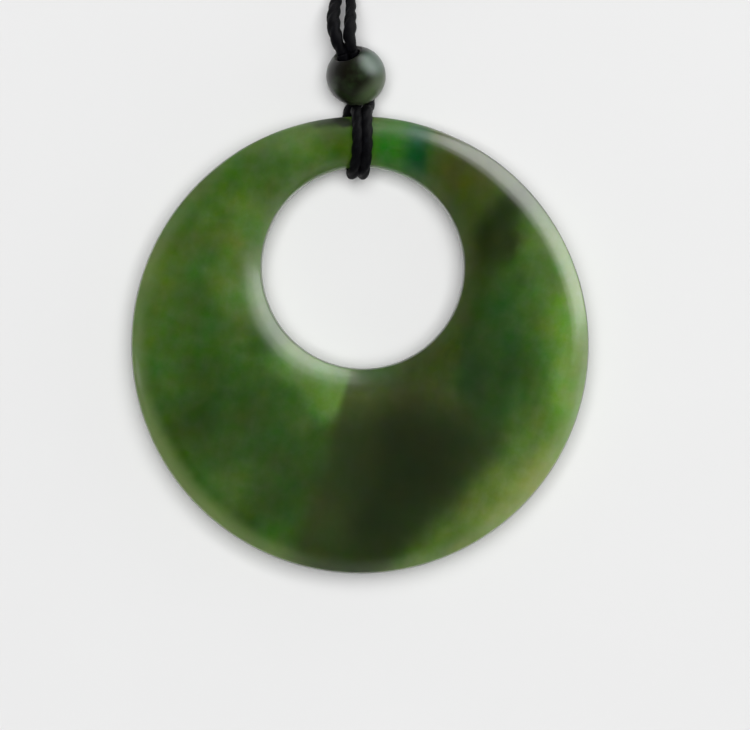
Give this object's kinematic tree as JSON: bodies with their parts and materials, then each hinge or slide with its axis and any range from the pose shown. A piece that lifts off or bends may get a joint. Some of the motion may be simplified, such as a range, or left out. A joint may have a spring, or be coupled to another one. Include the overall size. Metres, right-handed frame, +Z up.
{
  "type": "jade disc pendant",
  "caption": "Polished round jade pendant with a large off-centre hole, worn on a black cord that passes through a small jade bead.",
  "frame": {"origin": "on the surface that the disc lies on, under the middle of the disc's outline, which is its underside's middle", "axes": "+Z up through the disc's thickness, +Y from the disc's middle towards the hole, the narrow bar and the bead, +X to the right as seen from above"},
  "size_m": [0.046, 0.077, 0.006],
  "materials": {
    "jade": "polished",
    "dark_jade": "polished",
    "cord": "satin"
  },
  "bodies": {
    "root": {"jade_disc": "jade", "jade_bead": "dark_jade", "cord_wrap": "cord", "cord_left": "cord", "cord_right": "cord", "cord_coil": "cord", "end_knot": "cord"}
  },
  "joints": []
}
